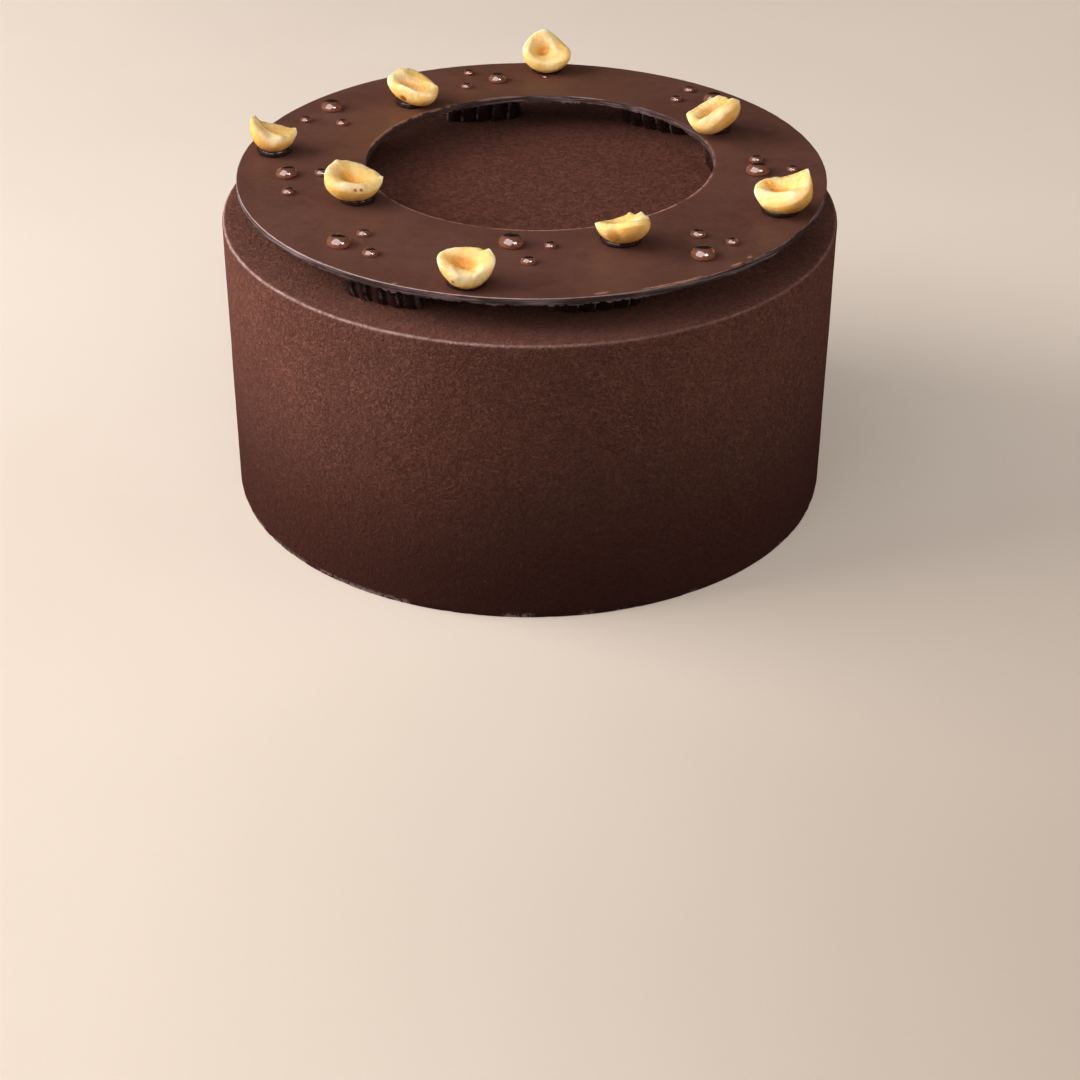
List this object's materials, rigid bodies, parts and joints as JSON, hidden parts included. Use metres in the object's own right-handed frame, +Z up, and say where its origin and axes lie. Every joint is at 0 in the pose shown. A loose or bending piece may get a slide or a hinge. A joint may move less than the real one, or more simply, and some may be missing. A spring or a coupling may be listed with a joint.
{
  "type": "chocolate hazelnut cake",
  "caption": "Round chocolate cake with a thin chocolate ring raised on short piped ropes, topped with halved hazelnuts and clear drops of glaze.",
  "frame": {"origin": "middle of the cake's flat underside, on the drum's axis", "axes": "+Z up along the drum's axis; the side shown in the picture faces -Y; +X to the right of it"},
  "size_m": [0.1568, 0.1568, 0.0968],
  "materials": {
    "sprayed_chocolate": "velvety cocoa-butter spray, matt with a fine grain",
    "ring_chocolate": "satin tempered dark chocolate",
    "piped_ganache": "satin dark ganache",
    "hazelnut": "blanched and toasted, with a slight oily sheen",
    "clear_glaze": "clear amber syrup drops, glossy"
  },
  "bodies": {
    "root": {"cake": "sprayed_chocolate", "ring": "ring_chocolate", "rope_01": "piped_ganache", "rope_02": "piped_ganache", "rope_03": "piped_ganache", "rope_04": "piped_ganache", "rope_05": "piped_ganache", "rope_06": "piped_ganache", "rope_07": "piped_ganache", "rope_08": "piped_ganache", "dab_01": "piped_ganache", "dab_02": "piped_ganache", "dab_03": "piped_ganache", "dab_04": "piped_ganache", "dab_05": "piped_ganache", "dab_06": "piped_ganache", "dab_07": "piped_ganache", "dab_08": "piped_ganache", "nut_01": "hazelnut", "nut_02": "hazelnut", "nut_03": "hazelnut", "nut_04": "hazelnut", "nut_05": "hazelnut", "nut_06": "hazelnut", "nut_07": "hazelnut", "nut_08": "hazelnut"}
  },
  "joints": []
}
